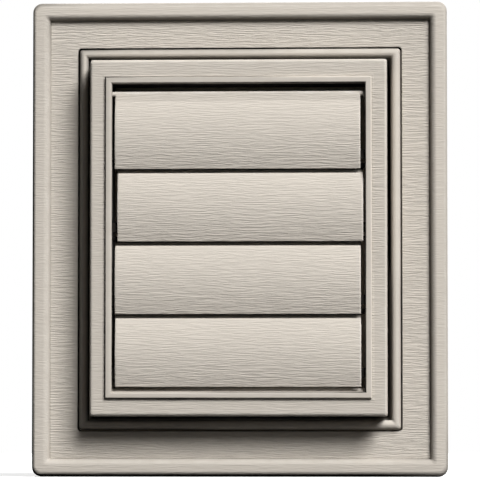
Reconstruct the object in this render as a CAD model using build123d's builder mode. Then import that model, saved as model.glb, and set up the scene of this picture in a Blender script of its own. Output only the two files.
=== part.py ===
from build123d import *
from math import hypot, sqrt
import os

# Square exhaust vent for siding, in millimetres. X runs right, Z runs up and the front faces -Y.
# The wall's face is the plane Y = 0, and the duct's axis is the Y axis.
# Every depth below is counted forward from the wall, so a depth of 30 lies at Y = -30.

# Hood: the box that carries the louvres, with a bead round its foot
hood_width = 126.4
hood_height = 151.8
hood_depth = 30.0  # front face of the box
hood_wall = 2.0
hood_corner = 1.0
hood_edge_round = 1.3
face_band_side = 6.6  # flat face from the box's edge to the lip, left and right
face_band_level = 7.55  # the same, above and below
lip_width = 2.8
lip_rise = 1.2
lip_round = 0.5
sill_chamfer = 0.6  # lets rain off the lip's lower edge
sill_rib_setback = 1.7  # rib on the throat's floor, behind the box's face
sill_rib_rise = 1.5
sill_rib_slope = 1.8  # depth of its sloping front
sill_rib_depth = 4.8
groove_width = 1.7  # between the box and the bead
groove_floor = 13.5
bead_width = 4.0
bead_top = 18.6
skirt_back = 8.0  # back edge of the skirt under the bead
skirt_corner = 2.2
throat_wall = 2.5
throat_back = 12.0
gusset_thickness = 1.6
gusset_length = 8.0
gusset_offset = 45.0  # from the middle of each side

# Louvres: bowed slats that hang on a rod with a pin at each end
louvre_count = 4
louvre_lap = 1.0  # how far each slat reaches past the next pin
first_pin_drop = 4.2  # opening's top edge to the first pin
foot_gap = 2.3  # last slat to the opening's lower edge
slat_thickness = 1.0
slat_side_gap = 1.4
slat_crown = 2.0
slat_foot_front = 2.45  # lower edge's front, forward of the pin's axis
slat_foot_round = 0.2
slat_foot_back_round = 0.6
shoulder_front = 1.3  # where the bow starts, forward of the pin's axis
shoulder_drop = 3.2  # and below it
shoulder_back_drop = 0.6  # the back's bends lie this much lower
neck_drop = 2.6
neck_recess = 0.25  # neck's front behind the pin's axis, so that the slat above clears it
first_neck_front = 0.65  # the top slat's neck stands forward, with no slat above it
pin_setback = 2.5  # pin's axis behind the box's face
pin_radius = 1.1
pin_reach = 3.0  # past each end of the slat
pin_clearance = 0.06
first_louvre_shift = 0.35  # end play taken up to the left
second_louvre_shift = 0.8  # to the right
third_louvre_shift = 0.25  # to the left
fourth_louvre_shift = 0.15  # to the left
stop_rise = 6.0  # stop's middle above the slat's lower edge
stop_height = 4.0
stop_reach = 2.4  # inward from the throat's side wall
stop_length = 4.0
stop_clearance = 0.3

# Mounting base: nailing flange, sleeve for the hood and collar for the duct
base_plate = 2.0
flange_inset = 2.9  # inside the trim ring's outline
flange_corner = 4.0
sleeve_wall = 2.0
sleeve_clearance = 0.3
collar_radius = 49.6
collar_wall = 2.0
collar_length = 44.0
collar_chamfer = 0.8
slot_length = 24.0
slot_width = 5.0
slot_spacing_level = 88.0
slot_spacing_side = 100.0
catch_width = 18.0
catch_height = 1.4
catch_reach = 1.4
catch_depth = 9.0  # back face of each catch
catch_clearance = 0.25

# Trim ring: snaps over the hood's skirt and covers the cut siding
ring_width = 177.8
ring_height = 203.2
ring_corner = 4.0
ring_wall = 2.0
ring_back = 5.0
ring_clearance = 0.5
panel_depth = 16.5
panel_edge_round = 0.5
rim_width = 7.5
rim_rise = 3.0
rim_ovolo = 2.8  # round on the rim's inner edge
rim_round = 2.6
leg_length = 7.5  # back from the panel's face
tab_width = 16.0
tab_offset = 34.0  # from the middle of each side
slit_width = 1.2
slit_length = 4.0
barb_rise = 0.9
barb_height = 1.2
barb_from_edge = 0.3
ratchet_steps = 2
ratchet_pitch = 2.6
ratchet_clearance = 0.25

# Sizes that follow from those above
opening_width = hood_width - 2 * (face_band_side + lip_width)
opening_height = hood_height - 2 * (face_band_level + lip_width)
lip_outer_width = opening_width + 2 * lip_width
lip_outer_height = opening_height + 2 * lip_width
lip_top = hood_depth + lip_rise
sill_rib_front = hood_depth - sill_rib_setback
bead_round = 0.48 * bead_width  # just short of a half-round
catch_edge = catch_height / 3
pin_depth = hood_depth - pin_setback
moat_width = hood_width + 2 * groove_width
moat_height = hood_height + 2 * groove_width
skirt_width = moat_width + 2 * bead_width
skirt_height = moat_height + 2 * bead_width
shelf_back = groove_floor - hood_wall
sleeve_width = skirt_width - 2 * (hood_wall + sleeve_clearance)
sleeve_height = skirt_height - 2 * (hood_wall + sleeve_clearance)
flange_width = ring_width - 2 * flange_inset
flange_height = ring_height - 2 * flange_inset
ring_opening_width = skirt_width + 2 * ring_clearance
ring_opening_height = skirt_height + 2 * ring_clearance
ring_opening_corner = skirt_corner + ring_clearance
rim_top = panel_depth + rim_rise
leg_back = panel_depth - leg_length
barb_back = leg_back + barb_from_edge
ratchet_depth = barb_rise - ring_clearance + ratchet_clearance
louvre_pitch = (opening_height - first_pin_drop - foot_gap - louvre_lap) / louvre_count
slat_drop = louvre_pitch + louvre_lap
slat_half = opening_width / 2 - slat_side_gap
pin_heights = [opening_height / 2 - first_pin_drop - i * louvre_pitch for i in range(louvre_count)]
louvre_shifts = [-first_louvre_shift, second_louvre_shift, -third_louvre_shift, -fourth_louvre_shift]
neck_fronts = [first_neck_front] + (louvre_count - 1) * [-neck_recess]
depth_tolerance = 0.001


def depth_plane(depth):
    # Drawn as seen from the front, with extrusions running forward
    return Plane.XZ.offset(depth)


def side_planes(width, height):
    # On the middle of each side of a frame: local x outward, local y back to the wall
    return [
        Plane(origin=(width / 2, 0, 0), x_dir=(1, 0, 0), z_dir=(0, 0, 1)),
        Plane(origin=(-width / 2, 0, 0), x_dir=(-1, 0, 0), z_dir=(0, 0, -1)),
        Plane(origin=(0, 0, height / 2), x_dir=(0, 0, 1), z_dir=(-1, 0, 0)),
        Plane(origin=(0, 0, -height / 2), x_dir=(0, 0, -1), z_dir=(1, 0, 0)),
    ]


def along(planes, offset):
    # Two places on each side, the same distance either way from its middle
    return [plane.offset(way * offset) for plane in planes for way in (-1, 1)]


def front_face(piece):
    return piece.faces().sort_by(Axis.Y)[0]


def face_at(piece, depth):
    # The widest flat face that looks forward at a depth
    level = [f for f in piece.faces().filter_by(Axis.Y) if abs(f.center().Y + depth) < depth_tolerance]
    return ShapeList(level).sort_by(SortBy.AREA)[-1]


def slat_back(drop):
    # How far forward of the pin's axis the bow's back face lies, at a drop below the pin
    top_drop = shoulder_drop + shoulder_back_drop
    rise = slat_foot_front - shoulder_front
    fall = slat_drop - top_drop
    chord = hypot(rise, fall)
    radius = (chord**2 / 4 + slat_crown**2) / (2 * slat_crown)
    sink = radius - slat_crown
    centre_forward = (shoulder_front + slat_foot_front) / 2 - slat_thickness - sink * fall / chord
    centre_drop = (top_drop + slat_drop) / 2 + sink * rise / chord
    return centre_forward + sqrt(radius**2 - (drop - centre_drop) ** 2)


# Mounting base
with BuildPart() as mounting_base:
    with BuildSketch(depth_plane(0)):
        RectangleRounded(flange_width, flange_height, flange_corner)
    extrude(amount=base_plate)
    with BuildSketch(depth_plane(base_plate)):
        Rectangle(sleeve_width, sleeve_height)
        Rectangle(sleeve_width - 2 * sleeve_wall, sleeve_height - 2 * sleeve_wall, mode=Mode.SUBTRACT)
    extrude(amount=shelf_back - base_plate)
    for plane in side_planes(sleeve_width, sleeve_height):
        with BuildSketch(plane.offset(-catch_width / 2)):
            with BuildLine():
                Polyline(
                    (-sleeve_wall / 2, -catch_depth),
                    (catch_reach, -catch_depth),
                    (catch_reach, -catch_depth - catch_edge),
                    (0, -catch_depth - catch_height),
                    (-sleeve_wall / 2, -catch_depth - catch_height),
                    close=True,
                )
            make_face()
        extrude(amount=catch_width)
    with BuildSketch(depth_plane(0)):
        Circle(collar_radius)
    extrude(amount=-collar_length)
    chamfer(mounting_base.edges().sort_by(Axis.Y)[-1], collar_chamfer)
    with BuildSketch(depth_plane(base_plate)):
        Circle(collar_radius - collar_wall)
    extrude(amount=-(base_plate + collar_length), mode=Mode.SUBTRACT)
    with BuildSketch(depth_plane(0)):
        with GridLocations(slot_spacing_level, (flange_height + sleeve_height) / 2, 2, 2):
            SlotOverall(slot_length, slot_width)
        with GridLocations((flange_width + sleeve_width) / 2, slot_spacing_side, 2, 2):
            SlotOverall(slot_length, slot_width, rotation=90)
    extrude(amount=base_plate, mode=Mode.SUBTRACT)

# Louvre hood
with BuildPart() as louvre_hood:
    with BuildSketch(depth_plane(skirt_back)):
        RectangleRounded(skirt_width, skirt_height, skirt_corner)
    extrude(amount=bead_top - skirt_back)
    with BuildSketch(depth_plane(groove_floor)):
        Rectangle(moat_width, moat_height)
    extrude(amount=bead_top - groove_floor, mode=Mode.SUBTRACT)
    bead = face_at(louvre_hood, bead_top)
    fillet(bead.edges(), bead_round)
    with BuildSketch(depth_plane(groove_floor)):
        RectangleRounded(hood_width, hood_height, hood_corner)
    extrude(amount=hood_depth - groove_floor)
    fillet(front_face(louvre_hood).edges(), hood_edge_round)
    with BuildSketch(depth_plane(hood_depth)):
        Rectangle(lip_outer_width, lip_outer_height)
    extrude(amount=lip_rise)
    with BuildSketch(depth_plane(skirt_back)):
        Rectangle(skirt_width - 2 * hood_wall, skirt_height - 2 * hood_wall)
    extrude(amount=shelf_back - skirt_back, mode=Mode.SUBTRACT)
    with BuildSketch(depth_plane(shelf_back)):
        Rectangle(hood_width - 2 * hood_wall, hood_height - 2 * hood_wall)
    extrude(amount=hood_depth - hood_wall - shelf_back, mode=Mode.SUBTRACT)
    with BuildSketch(depth_plane(throat_back)):
        Rectangle(opening_width + 2 * throat_wall, opening_height + 2 * throat_wall)
    extrude(amount=hood_depth - throat_back)
    gusset_span = (hood_width - 2 * hood_wall - opening_width) / 2 - throat_wall
    gusset_rise = (hood_height - 2 * hood_wall - opening_height) / 2 - throat_wall
    throat_sides = side_planes(opening_width + 2 * throat_wall, opening_height + 2 * throat_wall)
    gusset_spans = 4 * [gusset_span] + 4 * [gusset_rise]
    for plane, span in zip(along(throat_sides, gusset_offset), gusset_spans):
        with BuildSketch(plane.offset(-gusset_thickness / 2)):
            with Locations((span / 2, -(hood_depth - hood_wall - gusset_length / 2))):
                Rectangle(span, gusset_length)
        extrude(amount=gusset_thickness)
    with BuildSketch(depth_plane(throat_back)):
        Rectangle(opening_width, opening_height)
    extrude(amount=lip_top - throat_back, mode=Mode.SUBTRACT)
    sill = -opening_height / 2
    with BuildSketch(Plane.YZ):
        with BuildLine():
            Polyline(
                (-sill_rib_front, sill - throat_wall / 2),
                (-sill_rib_front, sill),
                (-sill_rib_front + sill_rib_slope, sill + sill_rib_rise),
                (-sill_rib_front + sill_rib_depth, sill + sill_rib_rise),
                (-sill_rib_front + sill_rib_depth, sill - throat_wall / 2),
                close=True,
            )
        make_face()
    extrude(amount=opening_width / 2, both=True)
    fillet(front_face(louvre_hood).outer_wire().edges(), lip_round)
    inner_lip = front_face(louvre_hood).inner_wires()[0].edges().sort_by(Axis.Z)
    chamfer(inner_lip[0], sill_chamfer)
    fillet(front_face(louvre_hood).inner_wires()[0].edges().sort_by(Axis.Z)[1:], lip_round)
    for pin_height in pin_heights:
        stop_middle = slat_drop - stop_rise
        stop_front = pin_depth - stop_clearance + min(
            slat_back(stop_middle + way * stop_height / 2) for way in (-1, 1)
        )
        for way in (-1, 1):
            with BuildSketch(depth_plane(stop_front)):
                with Locations((way * (opening_width - stop_reach) / 2, pin_height - stop_middle)):
                    Rectangle(stop_reach, stop_height)
            extrude(amount=-stop_length)
    with BuildSketch(Plane.YZ):
        with Locations([(-pin_depth, pin_height) for pin_height in pin_heights]):
            Circle(pin_radius + pin_clearance)
    extrude(amount=opening_width / 2 + throat_wall, both=True, mode=Mode.SUBTRACT)
    for plane in side_planes(skirt_width, skirt_height):
        with BuildSketch(plane.offset(-catch_width / 2 - catch_clearance)):
            with Locations((-hood_wall / 2, -catch_depth - catch_height / 2)):
                Rectangle(2 * hood_wall, catch_height + 2 * catch_clearance)
        extrude(amount=catch_width + 2 * catch_clearance, mode=Mode.SUBTRACT)
    for plane in along(side_planes(skirt_width, skirt_height), tab_offset):
        with BuildSketch(plane.offset(-tab_width / 2 - ratchet_clearance)):
            for step in range(ratchet_steps):
                with Locations((0, -barb_back - barb_height / 2 - step * ratchet_pitch)):
                    Rectangle(2 * ratchet_depth, barb_height + 2 * ratchet_clearance)
        extrude(amount=tab_width + 2 * ratchet_clearance, mode=Mode.SUBTRACT)

# Trim ring
with BuildPart() as trim_ring:
    with BuildSketch(depth_plane(ring_back)):
        RectangleRounded(ring_width, ring_height, ring_corner)
    extrude(amount=rim_top - ring_back)
    fillet(front_face(trim_ring).edges(), rim_round)
    with BuildSketch(depth_plane(panel_depth)):
        Rectangle(ring_width - 2 * rim_width, ring_height - 2 * rim_width)
    extrude(amount=rim_rise, mode=Mode.SUBTRACT)
    fillet(front_face(trim_ring).inner_wires()[0].edges(), rim_ovolo)
    with BuildSketch(depth_plane(ring_back)):
        RectangleRounded(ring_width - 2 * ring_wall, ring_height - 2 * ring_wall, ring_corner - ring_wall)
        Rectangle(
            ring_opening_width + 2 * ring_wall, ring_opening_height + 2 * ring_wall, mode=Mode.SUBTRACT
        )
    extrude(amount=panel_depth - ring_wall - ring_back, mode=Mode.SUBTRACT)
    with BuildSketch(depth_plane(panel_depth - ring_wall)):
        RectangleRounded(ring_width - 2 * ring_wall, ring_height - 2 * ring_wall, ring_corner - ring_wall)
        Rectangle(
            ring_width - 2 * (rim_width - rim_ovolo),
            ring_height - 2 * (rim_width - rim_ovolo),
            mode=Mode.SUBTRACT,
        )
    extrude(amount=rim_rise, mode=Mode.SUBTRACT)
    with BuildSketch(depth_plane(ring_back)):
        Rectangle(ring_opening_width + 2 * ring_wall, ring_opening_height + 2 * ring_wall)
    extrude(amount=leg_back - ring_back, mode=Mode.SUBTRACT)
    with BuildSketch(depth_plane(leg_back)):
        RectangleRounded(ring_opening_width, ring_opening_height, ring_opening_corner)
    extrude(amount=leg_length, mode=Mode.SUBTRACT)
    fillet(face_at(trim_ring, panel_depth).inner_wires()[0].edges(), panel_edge_round)
    for plane in along(side_planes(ring_opening_width, ring_opening_height), tab_offset):
        with BuildSketch(plane.offset(-tab_width / 2)):
            with BuildLine():
                Polyline(
                    (ring_wall / 2, -barb_back),
                    (0, -barb_back),
                    (-barb_rise, -barb_back - barb_height / 2),
                    (-barb_rise, -barb_back - barb_height),
                    (ring_wall / 2, -barb_back - barb_height),
                    close=True,
                )
            make_face()
        extrude(amount=tab_width)
        for way in (-1, 1):
            with BuildSketch(plane.offset(way * (tab_width + slit_width) / 2 - slit_width / 2)):
                with Locations((ring_wall / 2, -leg_back - slit_length / 2)):
                    Rectangle(2 * ring_wall, slit_length)
            extrude(amount=slit_width, mode=Mode.SUBTRACT)


def make_louvre(pin_height, neck_front, shift):
    # The section is drawn as seen along X, each point by its way forward of the pin's axis and its drop
    def spot(forward, drop):
        return Vector(-pin_depth - forward, pin_height - drop)

    shoulder = spot(shoulder_front, shoulder_drop)
    shoulder_back = spot(shoulder_front - slat_thickness, shoulder_drop + shoulder_back_drop)
    foot = spot(slat_foot_front, slat_drop)
    foot_back = spot(slat_foot_front - slat_thickness, slat_drop)
    neck_back = neck_front - slat_thickness
    with BuildPart() as louvre:
        with BuildSketch(Plane.YZ.offset(shift)):
            with BuildLine():
                Polyline(spot(neck_front, 0), spot(neck_front, neck_drop), shoulder)
                SagittaArc(shoulder, foot, -slat_crown)
                Line(foot, foot_back)
                SagittaArc(foot_back, shoulder_back, slat_crown)
                Polyline(
                    shoulder_back,
                    spot(neck_back, neck_drop + shoulder_back_drop),
                    spot(neck_back, 0),
                    spot(neck_front, 0),
                )
            make_face()
        extrude(amount=slat_half, both=True)
        for place, radius in ((0, slat_foot_round), (-1, slat_foot_back_round)):
            foot_edges = louvre.edges().filter_by(Axis.X).group_by(Axis.Z)[0].sort_by(Axis.Y)
            fillet(foot_edges[place], radius)
        with BuildSketch(Plane.YZ.offset(shift)):
            with Locations(spot(0, 0)):
                Circle(pin_radius)
        extrude(amount=slat_half + pin_reach, both=True)
    return louvre.part


pieces = {
    "mounting_base": mounting_base.part,
    "louvre_hood": louvre_hood.part,
    "trim_ring": trim_ring.part,
}
for i in range(louvre_count):
    pieces[f"louvre_{i + 1}"] = make_louvre(pin_heights[i], neck_fronts[i], louvre_shifts[i])
os.makedirs("parts", exist_ok=True)
for name, piece in pieces.items():
    piece.label = name
    export_step(piece, f"parts/{name}.step")
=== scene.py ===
import math

import bmesh
import bpy
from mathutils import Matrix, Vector


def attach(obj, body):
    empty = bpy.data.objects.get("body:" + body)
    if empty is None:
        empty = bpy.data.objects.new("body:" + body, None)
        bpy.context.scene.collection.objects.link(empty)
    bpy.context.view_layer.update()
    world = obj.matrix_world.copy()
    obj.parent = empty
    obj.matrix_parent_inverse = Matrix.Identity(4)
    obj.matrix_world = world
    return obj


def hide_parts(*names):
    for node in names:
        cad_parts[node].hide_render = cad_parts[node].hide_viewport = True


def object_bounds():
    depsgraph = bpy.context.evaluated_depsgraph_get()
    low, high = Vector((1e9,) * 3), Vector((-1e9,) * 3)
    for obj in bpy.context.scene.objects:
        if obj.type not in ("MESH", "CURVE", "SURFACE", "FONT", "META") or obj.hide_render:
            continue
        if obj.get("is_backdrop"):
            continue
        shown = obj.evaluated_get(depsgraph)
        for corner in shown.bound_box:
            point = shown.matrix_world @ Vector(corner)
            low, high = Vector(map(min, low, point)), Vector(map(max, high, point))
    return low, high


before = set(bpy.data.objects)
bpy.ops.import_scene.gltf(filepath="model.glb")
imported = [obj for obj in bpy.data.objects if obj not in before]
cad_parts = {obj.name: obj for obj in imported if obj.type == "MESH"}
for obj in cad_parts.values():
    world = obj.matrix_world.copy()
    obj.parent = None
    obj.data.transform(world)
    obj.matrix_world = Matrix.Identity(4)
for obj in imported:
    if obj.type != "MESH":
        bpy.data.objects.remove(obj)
cadLow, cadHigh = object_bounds()
scene = bpy.context.scene
mm = 0.001
print("frame loaded, box in mm:", [round((high - low) / mm, 1) for low, high in zip(cadLow, cadHigh)])


# Small helpers for node trees
def addNode(tree, kind, inputs=None, **settings):
    node = tree.nodes.new(kind)
    for key, value in settings.items():
        setattr(node, key, value)
    for key, value in (inputs or {}).items():
        if isinstance(value, bpy.types.NodeSocket):
            tree.links.new(value, node.inputs[key])
        else:
            node.inputs[key].default_value = value
    return node


def calc(tree, operation, *values, clamp=False):
    node = addNode(tree, "ShaderNodeMath", dict(enumerate(values)), operation=operation, use_clamp=clamp)
    return node.outputs[0]


def xyz(tree, x, y, z):
    return addNode(tree, "ShaderNodeCombineXYZ", {0: x, 1: y, 2: z}).outputs[0]


def remap(tree, value, low, high, toLow=0.0, toHigh=1.0, kind="LINEAR"):
    ranges = {"Value": value, "From Min": low, "From Max": high, "To Min": toLow, "To Max": toHigh}
    return addNode(tree, "ShaderNodeMapRange", ranges, interpolation_type=kind).outputs[0]


def readMark(tree, name):
    return addNode(tree, "GeometryNodeInputNamedAttribute", {"Name": name}, data_type="FLOAT").outputs[0]


def storeMark(tree, geometry, name, value):
    kind = "GeometryNodeStoreNamedAttribute"
    inputs = {"Geometry": geometry, "Name": name, "Value": value}
    return addNode(tree, kind, inputs, data_type="FLOAT", domain="POINT").outputs[0]


def axes(tree, vector):
    return addNode(tree, "ShaderNodeSeparateXYZ", {0: vector}).outputs


def closeTree(tree, geometry, material, result):
    real = addNode(tree, "GeometryNodeRealizeInstances", {0: geometry}).outputs[0]
    done = addNode(tree, "GeometryNodeSetMaterial", {"Geometry": real, "Material": material})
    tree.links.new(done.outputs[0], result["Geometry"])


def newTree(name, kind, inputs, outputs):
    tree = bpy.data.node_groups.new(name, kind)
    for label, socketType, value in inputs:
        socket = tree.interface.new_socket(label, in_out="INPUT", socket_type=socketType)
        if value is not None:
            socket.default_value = value
    for label, socketType in outputs:
        tree.interface.new_socket(label, in_out="OUTPUT", socket_type=socketType)
    return tree, tree.nodes.new("NodeGroupInput").outputs, tree.nodes.new("NodeGroupOutput").inputs


def paint(red, green, blue):
    # 0 to 255 as on screen, to the linear colour that shaders take
    def linear(value):
        share = value / 255
        return share / 12.92 if share <= 0.04045 else ((share + 0.055) / 1.055) ** 2.4

    return (linear(red), linear(green), linear(blue), 1.0)


# Shared finishes: the mould's wood grain, the plastic's tone, pale edges that are partly wear and partly a
# painted highlight, and painted shade in crevices
def buildWoodGrain():
    tree, given, result = newTree(
        "woodGrain",
        "ShaderNodeTree",
        [
            ("Vector", "NodeSocketVector", None),
            ("Streak Length", "NodeSocketFloat", 0.016),
            ("Pitch", "NodeSocketFloat", 0.0009),
            ("Wander", "NodeSocketFloat", 0.0018),
        ],
        [("Height", "NodeSocketFloat"), ("Streak", "NodeSocketFloat")],
    )
    sway = addNode(tree, "ShaderNodeTexNoise", {"Vector": given["Vector"], "Scale": 38.0, "Detail": 2.0})
    shift = calc(tree, "MULTIPLY", calc(tree, "SUBTRACT", sway.outputs[0], 0.5), given["Wander"])
    place = axes(tree, given["Vector"])
    along = calc(tree, "DIVIDE", place[0], given["Streak Length"])
    depth = calc(tree, "DIVIDE", calc(tree, "ADD", place[1], shift), given["Pitch"])
    across = calc(tree, "DIVIDE", calc(tree, "ADD", place[2], shift), given["Pitch"])
    fine = addNode(
        tree,
        "ShaderNodeTexNoise",
        {"Vector": xyz(tree, along, depth, across), "Scale": 1.0, "Detail": 3.0, "Roughness": 0.55},
    )
    broadPlace = addNode(
        tree,
        "ShaderNodeVectorMath",
        {0: xyz(tree, along, depth, across), 1: (0.55, 0.3, 0.3)},
        operation="MULTIPLY",
    )
    broad = addNode(
        tree, "ShaderNodeTexNoise", {"Vector": broadPlace.outputs[0], "Scale": 1.0, "Detail": 2.0}
    )
    streak = remap(tree, fine.outputs[0], 0.36, 0.64, kind="SMOOTHSTEP")
    swell = calc(tree, "MULTIPLY", broad.outputs[0], 0.45)
    tree.links.new(calc(tree, "ADD", calc(tree, "MULTIPLY", streak, 0.55), swell), result["Height"])
    tree.links.new(streak, result["Streak"])
    return tree


def buildPlasticTone():
    tree, given, result = newTree(
        "plasticTone",
        "ShaderNodeTree",
        [
            ("Color", "NodeSocketColor", (0.6, 0.56, 0.5, 1.0)),
            ("Vector", "NodeSocketVector", None),
            ("Streak", "NodeSocketFloat", 0.5),
            ("Streak Tint", "NodeSocketFloat", 0.1),
            ("Cloud Tint", "NodeSocketFloat", 0.05),
            ("Roughness", "NodeSocketFloat", 0.5),
            ("Roughness Spread", "NodeSocketFloat", 0.16),
        ],
        [("Color", "NodeSocketColor"), ("Roughness", "NodeSocketFloat")],
    )
    cloud = addNode(tree, "ShaderNodeTexNoise", {"Vector": given["Vector"], "Scale": 24.0, "Detail": 3.0})
    streakPart = calc(tree, "SUBTRACT", given["Streak"], 0.5)
    cloudPart = calc(tree, "SUBTRACT", cloud.outputs[0], 0.5)
    tint = calc(
        tree,
        "ADD",
        calc(tree, "MULTIPLY", streakPart, given["Streak Tint"]),
        calc(tree, "MULTIPLY", cloudPart, given["Cloud Tint"]),
    )
    toned = addNode(
        tree,
        "ShaderNodeVectorMath",
        {0: given["Color"], "Scale": calc(tree, "ADD", tint, 1.0)},
        operation="SCALE",
    )
    tree.links.new(toned.outputs[0], result["Color"])
    uneven = calc(tree, "SUBTRACT", cloudPart, streakPart)
    spread = calc(tree, "MULTIPLY", uneven, given["Roughness Spread"])
    tree.links.new(calc(tree, "ADD", given["Roughness"], spread, clamp=True), result["Roughness"])
    return tree


# Pale edges: partly wear, partly a painted highlight on rounded edges that face the light
def buildWearAndHighlight():
    tree, given, result = newTree(
        "wearAndHighlight",
        "ShaderNodeTree",
        [
            ("Edge", "NodeSocketFloat", 0.0),
            ("Vector", "NodeSocketVector", None),
            ("Amount", "NodeSocketFloat", 0.3),
        ],
        [("Mask", "NodeSocketFloat")],
    )
    spots = {"Vector": given["Vector"], "Scale": 160.0, "Detail": 3.0}
    patches = addNode(tree, "ShaderNodeTexNoise", spots)
    patchy = remap(tree, patches.outputs[0], 0.3, 0.7, kind="SMOOTHSTEP")
    worn = calc(tree, "MULTIPLY", given["Edge"], patchy)
    tree.links.new(calc(tree, "MULTIPLY", worn, given["Amount"]), result["Mask"])
    return tree


# Painted shade: darkens the base colour where shade falls in crevices, gaps and the throat, as much as each
# point's shade value says
def buildPaintedCreviceShade():
    tree, given, result = newTree(
        "paintedCreviceShade",
        "ShaderNodeTree",
        [
            ("Painted Shade", "NodeSocketFloat", 0.0),
            ("Vector", "NodeSocketVector", None),
            ("Amount", "NodeSocketFloat", 1.0),
            ("Patchiness", "NodeSocketFloat", 0.06),
        ],
        [("Mask", "NodeSocketFloat")],
    )
    spots = {"Vector": given["Vector"], "Scale": 240.0, "Detail": 2.0}
    patches = addNode(tree, "ShaderNodeTexNoise", spots)
    uneven = calc(tree, "MULTIPLY", calc(tree, "SUBTRACT", patches.outputs[0], 0.5), given["Patchiness"])
    depth = calc(tree, "MULTIPLY", given["Painted Shade"], calc(tree, "ADD", uneven, given["Amount"]))
    darkest = 0.985  # a trace of the plastic shows even there
    tree.links.new(calc(tree, "MINIMUM", depth, darkest), result["Mask"])
    return tree


woodGrain = buildWoodGrain()
plasticTone = buildPlasticTone()
wearAndHighlight = buildWearAndHighlight()
paintedCreviceShade = buildPaintedCreviceShade()

plasticLook = {
    # pale colour of edges, partly wear and partly a painted highlight
    "wearAndHighlightColor": paint(236, 230, 221),
    # colour of the shade painted in crevices, gaps and the throat
    "paintedShadeColor": paint(9, 8, 8),
    "roughness": 0.5,
    "specular": 0.06,
    "grainStrength": 0.6,
}


def makePlastic(name, color, grainDepth, streakLength, pitch, streakTint, cloudTint, wearAndHighlightAmount):
    material = bpy.data.materials.new(name)
    material.use_nodes = True
    tree = material.node_tree
    shader = tree.nodes["Principled BSDF"]
    place = addNode(tree, "ShaderNodeTexCoord").outputs["Object"]
    emboss, edge, paintedShade = (
        addNode(tree, "ShaderNodeAttribute", attribute_name=key).outputs["Fac"]
        for key in ("emboss", "edge", "paintedShade")
    )

    def placeGroup(group, values):
        node = tree.nodes.new("ShaderNodeGroup")
        node.node_tree = group
        for key, value in values.items():
            if isinstance(value, bpy.types.NodeSocket):
                tree.links.new(value, node.inputs[key])
            else:
                node.inputs[key].default_value = value
        return node.outputs

    grain = placeGroup(woodGrain, {"Vector": place, "Streak Length": streakLength, "Pitch": pitch})
    shown = calc(tree, "MULTIPLY_ADD", calc(tree, "SUBTRACT", grain["Streak"], 0.5), emboss, 0.5)
    tone = placeGroup(
        plasticTone,
        {
            "Color": color,
            "Vector": place,
            "Streak": shown,
            "Streak Tint": streakTint,
            "Cloud Tint": cloudTint,
            "Roughness": plasticLook["roughness"],
        },
    )
    wearAndGlint = placeGroup(wearAndHighlight, {"Edge": edge, "Vector": place, "Amount": wearAndHighlightAmount})
    # Painted shade darkens the colour in crevices and gaps and takes away the sheen
    paintedDark = placeGroup(paintedCreviceShade, {"Painted Shade": paintedShade, "Vector": place})
    wornAndLit = addNode(
        tree, "ShaderNodeMixRGB", {0: wearAndGlint["Mask"], 1: tone["Color"], 2: plasticLook["wearAndHighlightColor"]}
    )
    shadedColor = addNode(
        tree, "ShaderNodeMixRGB", {0: paintedDark["Mask"], 1: wornAndLit.outputs[0], 2: plasticLook["paintedShadeColor"]}
    )
    tree.links.new(shadedColor.outputs[0], shader.inputs["Base Color"])
    tree.links.new(tone["Roughness"], shader.inputs["Roughness"])
    unshaded = calc(tree, "SUBTRACT", 1.0, paintedDark["Mask"])
    sheen = calc(tree, "MULTIPLY", unshaded, plasticLook["specular"])  # the painted shade has no sheen
    tree.links.new(sheen, shader.inputs["Specular IOR Level"])
    bump = addNode(
        tree,
        "ShaderNodeBump",
        {
            "Height": calc(tree, "MULTIPLY", grain["Height"], emboss),
            "Strength": plasticLook["grainStrength"],
            "Distance": grainDepth,
        },
    )
    tree.links.new(bump.outputs[0], shader.inputs["Normal"])
    return material


# Grain is in metres; the visible front mouldings share one grain, the base is smoother
frontGrain = {"streakLength": 0.0075, "pitch": 0.0005, "streakTint": 0.06, "cloudTint": 0.05}
baseGrain = {"streakLength": 0.012, "pitch": 0.0008, "streakTint": 0.03, "cloudTint": 0.06}
ringPlastic = makePlastic(
    "ringPlastic", paint(212, 204, 193), grainDepth=0.00055, wearAndHighlightAmount=0.35, **frontGrain
)
hoodPlastic = makePlastic(
    "hoodPlastic", paint(208, 200, 189), grainDepth=0.00055, wearAndHighlightAmount=0.35, **frontGrain
)
louvrePlastic = makePlastic(
    "louvrePlastic", paint(213, 205, 194), grainDepth=0.00036, wearAndHighlightAmount=0.85, **frontGrain
)
basePlastic = makePlastic(
    "basePlastic", paint(210, 202, 191), grainDepth=0.0002, wearAndHighlightAmount=0.2, **baseGrain
)
print("finishes made")


# Frames are lofted from rails: one rounded rectangle for each corner of the section
def rail(
    halfX,
    halfZ,
    depth,
    corner=0.2,
    soft=0.0,
    grain=1.0,
    paintedShade=0.0,
    lean=0.0,
    sill=0.0,
    fade=3.0,
    wearAndGlint=0.0,
):
    # Millimetres; soft rounds the section there; the shade value sets how much shade is painted there,
    # before and after the round, and fade how fast that ends on it;
    # lean above 0 keeps that painted shade to the upper right, below 0 to the lower left, the sides turned
    # from the key light; sill lowers the bottom side only;
    # the last value sets how pale the face is painted, partly as wear and partly as a painted highlight
    ends = paintedShade if isinstance(paintedShade, tuple) else (paintedShade, paintedShade)
    at = Vector((halfX, halfZ, depth, corner, sill))
    return {"at": at, "soft": soft, "grain": grain, "paintedShade": ends, "lean": lean, "fade": fade, "wearAndGlint": wearAndGlint}


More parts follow.
